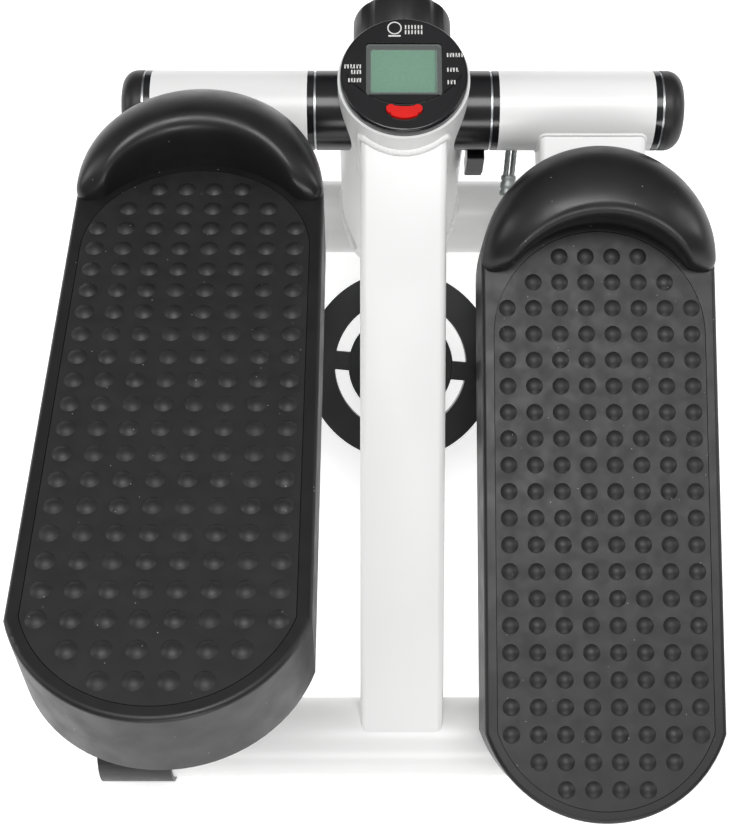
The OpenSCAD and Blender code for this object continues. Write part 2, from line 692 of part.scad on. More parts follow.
// One row of n studs, u behind the axle
stud_ball = (stud_d * stud_d / 4 + stud_h * stud_h) / (2 * stud_h);
module stud() intersection() {
  translate([0, 0, stud_h - stud_ball]) sphere(r = stud_ball, $fn = 32);
  translate([0, 0, -0.5]) cylinder(r = stud_d / 2 + 0.5, h = 5, $fn = 24);
}
module stud_row(n, u) for (i = [0 : n - 1])
  translate([(i - (n - 1) / 2) * stud_pitch, -u, tread_h]) stud();
module tread_mat(side) color(soft_black) pedal_frame(side) {
  translate([0, 0, tread_h - mat_t]) linear_extrude(mat_t) mat_plan(0);
  stud_row(4, stud_rear_u);
  stud_row(6, stud_rear_u - stud_pitch);
  for (i = [0 : stud_rows - 1]) stud_row(8, stud_rear_u - (i + 2) * stud_pitch);
  stud_row(6, stud_rear_u - (stud_rows + 2) * stud_pitch);
  stud_row(4, stud_rear_u - (stud_rows + 3) * stud_pitch);
}
module left_tread_mat() tread_mat(LEFT);
module right_tread_mat() tread_mat(RIGHT);

// Toe cap: a crescent of moulded sections that swell from both tips to a high crest.
// Each section runs from the pedal's round front over the crest to the rear lip.
toe_steps = 40;
toe_half = front_r - 0.2;
toe_arc = 90 + asin((toe_tip - front_c) / toe_half);
lip_x = toe_half - 11;
lip_sag = toe_tip - toe_lip;
lip_r = (lip_x * lip_x + lip_sag * lip_sag) / (2 * lip_sag);
lip_arc = asin(lip_x / lip_r);
// Outer and inner edge of the crescent at t, from -1 at one tip to 1 at the other
function toe_out(t) = [toe_half * sin(t * toe_arc), -front_c + toe_half * cos(t * toe_arc)];
function toe_in(t) = [lip_r * sin(t * lip_arc), -toe_lip - lip_r * (1 - cos(t * lip_arc))];
function toe_rise(t) = toe_h * pow(max(1 - t * t, 0), 0.45);
// Section from outer foot to inner foot: [share of the width, share of the height]
toe_curve = [for (a = [0 : 9 : 81]) [0.96 * (1 - pow(cos(a), 1.15)), pow(sin(a), 0.5)]];
toe_lee = [[0.93, 1], [1.0, 0.985], [1.07, 0.93], [1.115, 0.84], [1.125, 0.72], [1.105, 0.52],
  [1.06, 0.27], [1.0, 0]];
toe_shape = concat(toe_curve, toe_lee);
function toe_ring(t) = let (o = toe_out(t), i = toe_in(t), z = toe_rise(t))
  [for (p = toe_shape) [o[0] + (i[0] - o[0]) * p[0], o[1] + (i[1] - o[1]) * p[0],
    tread_h + z * p[1]]];
function toe_t(k) = sin(90 * (2 * k / toe_steps - 1));
module toe_cap(side) color(soft_black) pedal_frame(side) {
  n = len(toe_shape);
  rings = [for (k = [1 : toe_steps - 1]) toe_ring(toe_t(k))];
  points = [for (r = rings) each r];
  m = len(rings);
  polyhedron(points, concat(
    [for (k = [0 : m - 2], j = [0 : n - 1])
      [k * n + j, k * n + (j + 1) % n, (k + 1) * n + (j + 1) % n, (k + 1) * n + j]],
    [[for (j = [n - 1 : -1 : 0]) j]], [[for (j = [0 : n - 1]) (m - 1) * n + j]]));
}
module left_toe_cap() toe_cap(LEFT);
module right_toe_cap() toe_cap(RIGHT);

module pedal_bolts(side) color(zinc) pedal_frame(side)
  for (u = bolt_us, x = [-bolt_x, bolt_x]) translate([x, -u, 0]) {
    translate([0, 0, arm_lo - 4]) cylinder(r = 5.6, h = 4, $fn = 6);
    translate([0, 0, arm_lo - 0.1]) cylinder(r = pedal_bolt_r, h = arm_h + 4);
  }
module left_pedal_bolts() pedal_bolts(LEFT);
module right_pedal_bolts() pedal_bolts(RIGHT);

// ---------------------------------------------------------------- dampers
// Pairs of ears welded to the back of the front crossbar
module damper_bracket() {
  foot = [-damper_foot_y, damper_foot_z - crossbar_z];
  side_way = [foot[1], -foot[0]] / norm(foot);
  for (x = [ear_gap, -ear_gap - ear_t]) translate([pedal_x + x, axle_y, crossbar_z])
    rotate([90, 0, 90]) linear_extrude(ear_t) difference() {
      union() {
        translate(foot) circle(damper_eye_r);
        polygon([foot + side_way * damper_eye_r, foot - side_way * damper_eye_r,
          -side_way * (crossbar_r - 4), side_way * (crossbar_r - 4)]);
      }
      circle(crossbar_r);
      translate(foot) circle(damper_bolt_d / 2);
    }
}
module damper_brackets() color(white) for (side = [LEFT, RIGHT]) on_side(side) damper_bracket();

module cross_bolt(x) {
  x_bar(damper_bolt_d / 2, -x - 9, x + 0.1);
  translate([x, 0, 0]) rotate([0, 90, 0]) cylinder(r = 7.4, h = 5.3, $fn = 6);
  translate([-x - 6.5, 0, 0]) rotate([0, 90, 0]) cylinder(r = 7.4, h = 6.5, $fn = 6);
}
module damper_lower_bolts() color(zinc) for (side = [LEFT, RIGHT]) on_side(side)
  translate([pedal_x, axle_y - damper_foot_y, damper_foot_z]) cross_bolt(ear_gap + ear_t);
module upper_bolt(side) color(zinc) pedal_frame(side)
  translate([0, -damper_top_u, -damper_top_h]) cross_bolt(ear_gap + ear_t);
module left_damper_upper_bolt() upper_bolt(LEFT);
module right_damper_upper_bolt() upper_bolt(RIGHT);

tube_y0 = damper_eye_r + 2;
tube_y1 = tube_y0 + damper_len;
// The piston stops short of the cylinder's head when its pedal is fully up
rod_back = damper_reach(LEFT) - (tube_y1 - head_len) + 1.2;
module damper_cylinder(side) color(gloss_black) damper_frame(side) difference() {
  union() {
    x_bar(damper_eye_r, -eye_w / 2, eye_w / 2);
    y_bar(5.5, 0, tube_y0 + 1);
    y_bar(damper_d / 2, tube_y0, tube_y1);
  }
  x_bar(damper_bolt_d / 2 + running, -eye_w, eye_w);
  y_bar(damper_d / 2 - damper_wall, tube_y0 + 4, tube_y1 - head_len);
  y_bar(damper_rod_d / 2 + running, tube_y1 - head_len - 1, tube_y1 + 1);
  // Groove rolled round the head, and a dish in its face
  translate([0, tube_y1 - head_len / 2, 0]) rotate([90, 0, 0]) rotate_extrude($fn = 96)
    translate([damper_d / 2 + 0.4, 0]) circle(1.3, $fn = 24);
  difference() {
    y_bar(damper_d / 2 - damper_wall, tube_y1 - 1.2, tube_y1 + 1);
    y_bar(damper_rod_d / 2 + 2, tube_y1 - 2, tube_y1 + 2);
  }
}
module left_damper_cylinder() damper_cylinder(LEFT);
module right_damper_cylinder() damper_cylinder(RIGHT);

module damper_rod(side) color("#d8dadb") damper_frame(side)
  translate([0, damper_reach(side), 0]) difference() {
    union() {
      x_bar(damper_eye_r, -eye_w / 2, eye_w / 2);
      y_bar(damper_rod_d / 2, -rod_back, 0);
      y_bar(damper_d / 2 - damper_wall - running, -rod_back - piston_t, -rod_back);
    }
    x_bar(bush_r, -eye_w, eye_w);
  }
module left_damper_rod() damper_rod(LEFT);
module right_damper_rod() damper_rod(RIGHT);

// Rubber bush in the rod's eye; its bore is the pivot with the slack
module upper_bush(side) color(soft_black) damper_frame(side)
  translate([0, damper_reach(side), 0])
    x_ring(bush_r, damper_bolt_d / 2 + damper_slack, -eye_w / 2, eye_w / 2);
module left_damper_bush() upper_bush(LEFT);
module right_damper_bush() upper_bush(RIGHT);

front_crossbar();
rear_crossbar();
main_beam();
front_post();
axle_tube();
axle_shaft();
axle_nuts();
front_left_foot();
front_right_foot();
rear_left_foot();
rear_right_foot();
console_housing();
display_window();
display_panel();
reset_button();
circuit_board();
battery();
adjuster_boss();
adjuster_screw();
adjuster_knob();
pulley();
pulley_bush();
pulley_spacer();
pulley_bolt();
cable();
left_cable_end();
right_cable_end();
sensor_block();
damper_brackets();
damper_lower_bolts();
left_sleeve();
left_arm();
left_pedal();
left_tread_mat();
left_toe_cap();
left_inner_bush();
left_outer_bush();
left_washers();
left_end_cap();
left_cable_lug();
left_damper_cylinder();
left_damper_rod();
left_damper_bush();
left_damper_upper_bolt();
left_pedal_bolts();
right_sleeve();
right_arm();
right_pedal();
right_tread_mat();
right_toe_cap();
right_inner_bush();
right_outer_bush();
right_washers();
right_end_cap();
right_cable_lug();
right_damper_cylinder();
right_damper_rod();
right_damper_bush();
right_damper_upper_bolt();
right_pedal_bolts();
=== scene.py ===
import json
import math

import bmesh
import bpy
from bpy.props import (FloatProperty, FloatVectorProperty, IntProperty, PointerProperty,
                       StringProperty)
from bpy.types import Operator, Panel, PropertyGroup
from mathutils import Matrix, Vector


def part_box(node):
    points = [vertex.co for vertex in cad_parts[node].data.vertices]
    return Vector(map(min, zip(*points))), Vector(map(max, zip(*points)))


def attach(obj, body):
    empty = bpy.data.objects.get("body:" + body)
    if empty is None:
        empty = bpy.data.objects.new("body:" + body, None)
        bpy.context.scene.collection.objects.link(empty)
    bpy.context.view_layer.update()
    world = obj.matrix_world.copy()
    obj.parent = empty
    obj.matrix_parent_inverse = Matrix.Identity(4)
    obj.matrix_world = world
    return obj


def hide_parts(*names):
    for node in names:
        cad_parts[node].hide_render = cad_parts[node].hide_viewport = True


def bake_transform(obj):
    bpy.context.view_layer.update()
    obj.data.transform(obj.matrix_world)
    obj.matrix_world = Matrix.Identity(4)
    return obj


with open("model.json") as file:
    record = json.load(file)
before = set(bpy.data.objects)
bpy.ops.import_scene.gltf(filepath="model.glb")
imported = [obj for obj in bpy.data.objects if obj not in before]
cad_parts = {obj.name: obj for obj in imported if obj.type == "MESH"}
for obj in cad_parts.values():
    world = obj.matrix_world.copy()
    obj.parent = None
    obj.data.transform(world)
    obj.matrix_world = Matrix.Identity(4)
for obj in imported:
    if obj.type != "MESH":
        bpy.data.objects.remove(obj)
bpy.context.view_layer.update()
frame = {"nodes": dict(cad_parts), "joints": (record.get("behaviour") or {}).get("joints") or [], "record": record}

bl_info = {
    "name": "Mini Stepper Looks",
    "version": (1, 0, 0),
    "blender": (4, 5, 0),
    "location": "3D View > Sidebar > Stepper",
    "description": "Finishes, welds, wire rope, printed marks and studio for a packed mini stepper",
    "category": "Object",
}

LEFT, RIGHT = -1, 1
SIDES = {LEFT: "left", RIGHT: "right"}
MM = 0.001
SAME_PLACE = 2e-5  # vertices closer than this are one
RIPPLE = 0.09  # share by which a weld bead swells and thins
WRAP_STEPS = 140  # steps of the rope round the pulley
BEAM_TOP, BEAM_HEIGHT, BEAM_CORNER = 162 * MM, 40 * MM, 3.5 * MM
CROSSBAR_RADIUS = 21 * MM
ARM_CORNER = 3 * MM
BEAD_STEP = 0.8 * MM
INK = 0.06 * MM


def joint(name):
    return next(j for j in frame["joints"] if j["name"] == name)


AXLE = Vector(joint("left_pedal_swing")["pos_m"])
PULLEY_CENTRE = Vector(joint("pulley_turn")["pos_m"])
PULLEY_WAY = Vector(joint("pulley_turn")["axis"])
BEAM_SLOPE = math.atan2(-PULLEY_WAY.y, PULLEY_WAY.z)
CONSOLE_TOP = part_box("console_housing")[1].z


# ------------------------------------------------------------------ settings
class StepperSizes(PropertyGroup):
    up_angle: FloatProperty(name="Raised pedal", description="Tilt of the raised left pedal",
                            default=math.radians(20.1), subtype="ANGLE")
    down_angle: FloatProperty(name="Lowered pedal", description="Tilt of the lowered right pedal",
                              default=math.radians(10.2), subtype="ANGLE")
    edge_round: FloatProperty(name="Edge rounding", description="Rounding of cut and moulded edges",
                              default=0.0005, unit="LENGTH")
    weld_radius: FloatProperty(name="Weld bead",
                               description="Radius of a weld bead under its paint",
                               default=0.0021, unit="LENGTH")
    weld_pitch: FloatProperty(name="Weld ripple",
                              description="Distance between ripples of a weld bead",
                              default=0.0024, unit="LENGTH")
    rope_diameter: FloatProperty(name="Rope diameter", description="Diameter of the wire rope",
                                 default=0.003, unit="LENGTH")
    rope_strands: IntProperty(name="Rope strands", description="Strands laid into the wire rope",
                              default=6)
    rope_lay: FloatProperty(name="Rope lay",
                            description="Length over which a strand goes once round",
                            default=0.021, unit="LENGTH")
    groove_radius: FloatProperty(name="Groove radius", description="Radius at which the rope runs",
                                 default=0.0485, unit="LENGTH")
    lug_radius: FloatProperty(name="Lug radius",
                              description="Distance of a lug's eye from the axle",
                              default=0.034, unit="LENGTH")
    lug_side: FloatProperty(name="Lug side", description="Distance of a lug from the middle",
                            default=0.062, unit="LENGTH")
    rope_legs: FloatProperty(name="Rope legs",
                             description="Length of the doubled rope below a lug's eye",
                             default=0.036, unit="LENGTH")
    ferrule_length: FloatProperty(name="Ferrule", description="Length of the crimped ferrule",
                                  default=0.011, unit="LENGTH")
    eye_radius: FloatProperty(name="Rope eye",
                              description="Radius of the rope's loop through a lug",
                              default=0.003, unit="LENGTH")
    pedal_width: FloatProperty(name="Pedal width", description="Width of a pedal",
                               default=0.116, unit="LENGTH")
    pedal_front: FloatProperty(name="Pedal front",
                               description="Distance from the axle to a pedal's front",
                               default=0.028, unit="LENGTH")
    tread_height: FloatProperty(name="Tread height",
                                description="Height of a tread over its arm's axis",
                                default=0.0214, unit="LENGTH")
    toe_height: FloatProperty(name="Toe cap height", description="Height of a toe cap's crest",
                              default=0.0305, unit="LENGTH")
    toe_lip: FloatProperty(name="Toe cap lip",
                           description="Distance from the axle to the lip's middle",
                           default=0.066, unit="LENGTH")
    toe_tip: FloatProperty(name="Toe cap tips", description="Distance from the axle to the tips",
                           default=0.0905, unit="LENGTH")
    tip_width: FloatProperty(name="Toe cap tip width", description="Width of a toe cap's round tip",
                             default=0.012, unit="LENGTH")
    beam_width: FloatProperty(name="Beam width", description="Width of the main beam's tube",
                              default=0.0436, unit="LENGTH")
    arm_width: FloatProperty(name="Arm width", description="Width of an arm's tube",
                             default=0.054, unit="LENGTH")
    arm_top: FloatProperty(name="Arm top", description="Height of an arm's top face over the axle",
                           default=0.011, unit="LENGTH")
    arm_height: FloatProperty(name="Arm height", description="Height of an arm's tube",
                              default=0.025, unit="LENGTH")
    arm_side: FloatProperty(name="Arm side", description="Distance of an arm from the middle",
                            default=0.0965, unit="LENGTH")
    print_height: FloatProperty(name="Printed mark", description="Height of a printed stroke",
                                default=0.0023, unit="LENGTH")


class StepperColours(PropertyGroup):
    powder_coat: StringProperty(name="Powder coat",
                                description="White of the tubes", default="f6f6f5")
    pedal: StringProperty(name="Pedal", description="Black of the moulded pedals", default="181718")
    tread: StringProperty(name="Tread", description="Black of the rubber treads", default="1f1e1f")
    gloss_black: StringProperty(name="Gloss black",
                                description="Black of glossy pieces", default="141416")
    liquid_crystal: StringProperty(name="Display",
                                   description="Green of the display", default="5f9b7c")
    reset_red: StringProperty(name="Reset button",
                              description="Red of the button", default="e8170f")
    dust: StringProperty(name="Dust", description="Colour of dust specks", default="a5a29e")
    floor: StringProperty(name="Floor", description="Colour of the studio floor", default="f6f6f5")


class StepperStudio(PropertyGroup):
    lens: FloatProperty(name="Lens", description="Focal length in millimetres", default=63.0)
    eye: FloatVectorProperty(name="Camera",
                             description="Place of the camera from the foot of the axle",
                             default=(-0.0171, -0.3904, 0.8098), subtype="TRANSLATION")
    pitch: FloatProperty(name="Pitch", description="Tilt of the camera below level",
                         default=math.radians(73.7), subtype="ANGLE")
    yaw: FloatProperty(name="Yaw", description="Turn of the camera to the right",
                       default=math.radians(0.92), subtype="ANGLE")
    roll: FloatProperty(name="Roll", description="Roll of the camera", default=math.radians(-0.9),
                        subtype="ANGLE")
    shift: FloatVectorProperty(name="Shift", description="Lens shift", size=2,
                               default=(-0.0131, 0.0746))


def sizes():
    return bpy.context.scene.stepper_sizes


def colours():
    return bpy.context.scene.stepper_colours


# ------------------------------------------------------------------ materials
def linear(code):
    """A hex sRGB colour as linear RGBA."""
    parts = [int(code[i:i + 2], 16) / 255 for i in (0, 2, 4)]
    return (*[c / 12.92 if c <= 0.04045 else ((c + 0.055) / 1.055) ** 2.4 for c in parts], 1.0)


def add(tree, kind, values=None, links=None, **settings):
    """Adds a node with its settings, socket values and links."""
    node = tree.nodes.new(kind)
    for name, value in settings.items():
        setattr(node, name, value)
    for socket, value in (values or {}).items():
        node.inputs[socket].default_value = value
    for socket, source in (links or {}).items():
        tree.links.new(source, node.inputs[socket])
    return node


def per_mm(mm):
    """Noise scale whose grain is that many millimetres, on Object coordinates in metres."""
    return 1 / (mm * MM)


def start_material(name, **sockets):
    """A material with a principled shader set from sockets, and its Object coordinates."""
    mat = bpy.data.materials.new(name)
    mat.use_nodes = True
    tree = mat.node_tree
    tree.nodes.clear()
    shader = add(tree, "ShaderNodeBsdfPrincipled", sockets)
    add(tree, "ShaderNodeOutputMaterial", links={"Surface": shader.outputs[0]})
    place = add(tree, "ShaderNodeTexCoord").outputs["Object"]
    return mat, tree, shader, place


def mottle(tree, place, grain_mm, detail=3.0):
    """Noise with a grain of that many millimetres."""
    return add(tree, "ShaderNodeTexNoise", {"Scale": per_mm(grain_mm), "Detail": detail},
               {"Vector": place}).outputs["Fac"]


def blend_colours(tree, factor, first, second):
    """Mixes two colours; the first may also come from another node."""
    values, links = {7: second}, {0: factor}
    (values if isinstance(first, tuple) else links)[6] = first
    return add(tree, "ShaderNodeMix", values, links, data_type="RGBA").outputs[2]


def shaded(colour, share):
    """A linear colour made lighter or darker by a share."""
    return tuple(c * share for c in colour[:3]) + (1.0,)


def spread(tree, factor, low=0.3, high=0.7, out_low=0.0, out_high=1.0):
    """Stretches a factor's range; the defaults take the middle of a noise to the full range."""
    return add(tree, "ShaderNodeMapRange", {"From Min": low, "From Max": high, "To Min": out_low,
                                           "To Max": out_high}, {"Value": factor}).outputs[0]


def colour_with(tree, shader, colour, gloss=None):
    """Links a colour, and a roughness if there is one, to a shader."""
    tree.links.new(colour, shader.inputs["Base Color"])
    if gloss:
        tree.links.new(gloss, shader.inputs["Roughness"])


def roughen(tree, shader, height, strength, depth_mm):
    """Gives a shader the fine relief of a height."""
    bump = add(tree, "ShaderNodeBump", {"Strength": strength, "Distance": depth_mm * MM},
               {"Height": height})
    tree.links.new(bump.outputs[0], shader.inputs["Normal"])


def specks(tree, place, spacing_mm, size):
    """Mask of scattered specks, size as a share of their spacing."""
    cells = add(tree, "ShaderNodeTexVoronoi", {"Scale": per_mm(spacing_mm), "Randomness": 1.0},
                {"Vector": place})
    near = spread(tree, cells.outputs["Distance"], size * 0.6, size, 1.0, 0.0)
    chance = add(tree, "ShaderNodeSeparateColor", links={0: cells.outputs["Color"]}).outputs[0]
    few = spread(tree, chance, 0.55, 0.6)
    return add(tree, "ShaderNodeMath", links={0: near, 1: few}, operation="MULTIPLY").outputs[0]


def powder_coat():
    # Polyester powder coat, baked: an even white with a soft orange peel
    mat, tree, shader, place = start_material("white_powder_coat", Roughness=0.3, IOR=1.5)
    tone = spread(tree, mottle(tree, place, 90, 1))
    colour_with(tree, shader,
                blend_colours(tree, tone, linear(colours().powder_coat), linear("f2f2f1")),
                spread(tree, mottle(tree, place, 14), out_low=0.28, out_high=0.33))
    roughen(tree, shader, mottle(tree, place, 2.2, 0), 0.08, 0.02)
    return mat


def gloss_black(name, roughness=0.16, colour=None):
    # Gloss stoved enamel or polished moulding: near black, faintly hazed by handling
    mat, tree, shader, place = start_material(name, Roughness=roughness, IOR=1.5)
    haze = mottle(tree, place, 26, 2)
    colour_with(tree, shader,
                blend_colours(tree, spread(tree, haze, 0.4),
                              linear(colour or colours().gloss_black), linear("1a1a1c")),
                spread(tree, haze, 0.35, 0.75, roughness, roughness + 0.05))
    roughen(tree, shader, mottle(tree, place, 3.0, 0), 0.05, 0.02)
    return mat


def moulded_polypropylene(name, colour, roughness):
    # Polypropylene from a finely sparked mould: a soft satin with a tight grain and some dust
    mat, tree, shader, place = start_material(name, Roughness=roughness, IOR=1.49)
    base = linear(colour)
    body = blend_colours(tree, spread(tree, mottle(tree, place, 30, 4)), base, shaded(base, 1.22))
    dusty = blend_colours(tree, specks(tree, place, 5.5, 0.055), body, linear(colours().dust))
    colour_with(tree, shader, dusty,
                spread(tree, mottle(tree, place, 12), out_low=roughness - 0.05,
                       out_high=roughness + 0.07))
    roughen(tree, shader, mottle(tree, place, 0.8, 2), 0.22, 0.05)
    return mat


def moulded_rubber():
    # Rubber pressed in a blasted mould: matt, faintly blotched, specked with dust
    mat, tree, shader, place = start_material("tread_rubber_moulded", Roughness=0.5, IOR=1.52)
    base = linear(colours().tread)
    body = blend_colours(tree, spread(tree, mottle(tree, place, 22, 5)), base, shaded(base, 1.25))
    dusty = blend_colours(tree, specks(tree, place, 4.5, 0.06), body, linear(colours().dust))
    colour_with(tree, shader, dusty,
                spread(tree, mottle(tree, place, 8), out_low=0.44, out_high=0.58))
    roughen(tree, shader, mottle(tree, place, 0.9, 3), 0.3, 0.06)
    return mat


def bright_metal(name, colour, roughness, grain_mm, metallic=1.0):
    # Plated, ground or sintered metal with the fine marks of its making
    mat, tree, shader, place = start_material(name, Metallic=metallic, Roughness=roughness)
    marks = mottle(tree, place, grain_mm, 4)
    base = linear(colour)
    colour_with(tree, shader,
                blend_colours(tree, spread(tree, marks, 0.35), base, shaded(base, 0.72)),
                spread(tree, marks, out_low=roughness, out_high=roughness + 0.14))
    roughen(tree, shader, marks, 0.1, 0.03)
    return mat


def clear_acrylic():
    # Injection moulded acrylic window: nearly all light passes, with a hint of waviness
    mat, tree, shader, place = start_material("clear_acrylic_window", Roughness=0.06, IOR=1.49)
    shader.inputs["Base Color"].default_value = linear("e9f4ee")
    shader.inputs["Alpha"].default_value = 0.14
    roughen(tree, shader, mottle(tree, place, 14, 1), 0.05, 0.05)
    return mat


def liquid_crystal():
    # Reflective liquid crystal glass: grey green, with the faint grain of its polariser
    mat, tree, shader, place = start_material("liquid_crystal_glass", Roughness=0.35, IOR=1.5)
    grain = spread(tree, mottle(tree, place, 1.2, 4))
    colour_with(tree, shader, blend_colours(tree, grain, linear(colours().liquid_crystal),
                                            linear("558f71")))
    return mat


def plain_moulding(name, colour, roughness, grain_mm):
    # A coloured moulding or coating with a slightly uneven gloss
    mat, tree, shader, place = start_material(name, Roughness=roughness, IOR=1.5)
    base = linear(colour)
    tone = spread(tree, mottle(tree, place, grain_mm))
    colour_with(tree, shader, blend_colours(tree, tone, base, shaded(base, 0.82)),
                spread(tree, tone, 0.0, 1.0, roughness, roughness + 0.08))
    return mat


def make_finishes():
    return {
        "white_paint": powder_coat(),
        "black_paint": gloss_black("gloss_black_enamel", 0.2),
        "console_plastic": gloss_black("gloss_black_moulded"),
        "black_nylon": gloss_black("pulley_nylon_moulded", 0.3, "0d0d0e"),
        "moulded_black": moulded_polypropylene("pedal_polypropylene", colours().pedal, 0.42),
        "toe_plastic": moulded_polypropylene("toe_cap_polypropylene", "1a191a", 0.34),
        "tread_rubber": moulded_rubber(),
        "zinc_steel": bright_metal("zinc_plated_steel", "c3c6c8", 0.28, 1.5),
        "chrome_rod": bright_metal("hard_chrome_rod", "d8dadc", 0.08, 0.8),
        "wire_rope": bright_metal("galvanised_wire", "9aa09e", 0.38, 0.6),
        "bronze": bright_metal("sintered_bronze", "b07f4a", 0.4, 0.5),
        "clear_window": clear_acrylic(),
        "display_green": liquid_crystal(),
        "red_button": plain_moulding("reset_button_abs", colours().reset_red, 0.22, 6),
        "board_green": plain_moulding("solder_resist", "2c6b3f", 0.35, 4),
        "print": plain_moulding("screen_print_white", "e9e9e6", 0.5, 3),
    }


FINISHES = {}


# ------------------------------------------------------------------ modelling helpers
def deselect():
    if bpy.context.mode != "OBJECT":
        bpy.ops.object.mode_set(mode="OBJECT")
    bpy.ops.object.select_all(action="DESELECT")


def only(piece):
    deselect()
    piece.select_set(True)
    bpy.context.view_layer.objects.active = piece
    return piece


def seat(piece, name, body, slot, finish=None):
    """Names a finished piece, puts its place in its mesh, and gives it its body and finish."""
    only(piece)
    bpy.ops.object.transform_apply(location=True, rotation=True, scale=True)
    piece.name = name
    piece.data.name = name
    piece.data.materials.clear()
    piece.data.materials.append(FINISHES[finish or slot])
    if body:
        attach(piece, body)
    return piece


def merged_copy(node, name):
    """A copy of a CAD node's shape with its loose triangles joined up."""
    piece = bpy.data.objects.new(name, frame["nodes"][node].data.copy())
    bpy.context.scene.collection.objects.link(piece)
    only(piece)
    bpy.ops.object.mode_set(mode="EDIT")
    bpy.ops.mesh.select_all(action="SELECT")
    bpy.ops.mesh.remove_doubles(threshold=SAME_PLACE)
    bpy.ops.mesh.dissolve_limited(angle_limit=math.radians(0.5))
    bpy.ops.object.mode_set(mode="OBJECT")
    return piece


def round_edges(piece, width, angle):
    """Rounds a piece's edges that are sharper than an angle, with modifiers that stay live."""
    weld = piece.modifiers.new("join", "WELD")
    weld.merge_threshold = SAME_PLACE
    bevel = piece.modifiers.new("edges", "BEVEL")
    bevel.width = width
    bevel.segments = 2
    bevel.limit_method = "ANGLE"
    bevel.angle_limit = math.radians(angle)
    bevel.harden_normals = True


def poly_line(points, closed=False):
    """A poly curve through points, as the active object."""
    deselect()
    bpy.ops.curve.primitive_bezier_curve_add(location=(0, 0, 0))
    curve = bpy.context.object
    curve.data.splines.clear()
    spline = curve.data.splines.new("POLY")
    spline.points.add(len(points) - 1)
    for p, at in zip(spline.points, points):
        p.co = (*at, 1.0)
    spline.use_cyclic_u = closed
    curve.data.dimensions = "3D"
    return curve


def runs(curve):
    """Each point of a curve with its distance along it."""
    run, last = 0.0, None
    for p in curve.data.splines[0].points:
        at = Vector(p.co[:3])
        run += (at - last).length if last else 0.0
        last = at
        yield p, run


def bead(points, name, body, closed=False, share=1.0):
    """A weld bead along points: a half sunk round bead with ripples, a share of the full size."""
    curve = poly_line(points, closed)
    curve.data.bevel_depth = sizes().weld_radius * share
    curve.data.bevel_resolution = 2
    curve.data.use_fill_caps = True
    for p, run in runs(curve):
        p.radius = 1 + RIPPLE * math.sin(2 * math.pi * run / sizes().weld_pitch)
    bpy.ops.object.convert(target="MESH")
    piece = bpy.context.object
    bpy.ops.object.shade_smooth()
    return seat(piece, name, body, "white_paint")


# ------------------------------------------------------------------ operators
class STEPPER_OT_finishes(Operator):
    """Make the finishes and put them on the CAD pieces"""
    bl_idname = "stepper.finishes"
    bl_label = "Finishes"

    def execute(self, context):
        FINISHES.update(make_finishes())
        slots = {s["node"]: s["material_slot"] for s in frame["record"]["subparts"]}
        for name, node in frame["nodes"].items():
            node.data.materials.clear()
            node.data.materials.append(FINISHES["black_nylon" if name == "pulley" else slots[name]])
        return {"FINISHED"}


def pedal_point(side, point):
    """A point of a pedal's own frame, -Y towards its rear, in the row frame."""
    s = sizes()
    tilt = -s.up_angle if side == LEFT else s.down_angle
    out = Vector((side * s.arm_side, 0, 0))
    return AXLE + Matrix.Rotation(tilt, 3, "X") @ (Vector(point) + out)


def toe_profile():
    """Section of the toe cap, front foot to rear foot: shares of its width and height."""
    front = [(0.9 * (1 - math.cos(math.radians(a)) ** 1.05), math.sin(math.radians(a)) ** 0.8)
             for a in range(0, 90, 6)]
    lee = [(0.78, 0.99), (0.9, 1.0), (0.965, 0.985), (1.025, 0.94), (1.07, 0.86), (1.09, 0.74),
           (1.085, 0.54), (1.05, 0.28), (1.0, 0.0), (0.94, -0.3)]
    smooth = []
    for a, b, c, d in zip(lee, lee[1:], lee[2:], lee[3:]):
        for k in range(3):
            t = k / 3
            smooth.append(tuple(0.5 * (2 * q + (r - p) * t + (2 * p - 5 * q + 4 * r - w) * t * t
                                       + (3 * q - p - 3 * r + w) * t ** 3)
                                for p, q, r, w in zip(a, b, c, d)))
    return front + smooth + [(1.0, 0.0)]


def toe_point(t, share, rise):
    """A point of the toe cap: t runs from -1 at one tip to 1 at the other."""
    s = sizes()
    half = s.pedal_width / 2 - 0.0002
    centre = s.pedal_front + s.pedal_width / 2
    turn = half * math.pi / 2
    length = turn + s.toe_tip - centre
    run = abs(t) * length
    a = min(run / turn, 1) * math.pi / 2
    outer = Vector((math.copysign(half * math.sin(a), t),
                    -centre + half * math.cos(a) - max(run - turn, 0)))
    reach, sag = half - s.tip_width, s.toe_tip - s.toe_lip
    radius = (reach * reach + sag * sag) / (2 * sag)
    b = t * math.asin(reach / radius)
    inner = Vector((radius * math.sin(b), -s.toe_lip - radius * (1 - math.cos(b))))
    q = max(0, 1 - 2 * (1 - abs(t)) * length / s.tip_width)
    drawn_in = (1 - math.sqrt(1 - q * q)) / 2
    at = outer.lerp(inner, drawn_in + share * (1 - 2 * drawn_in))
    return Vector((at.x, at.y, s.tread_height + s.toe_height * max(1 - t * t, 0) ** 0.45 * rise))


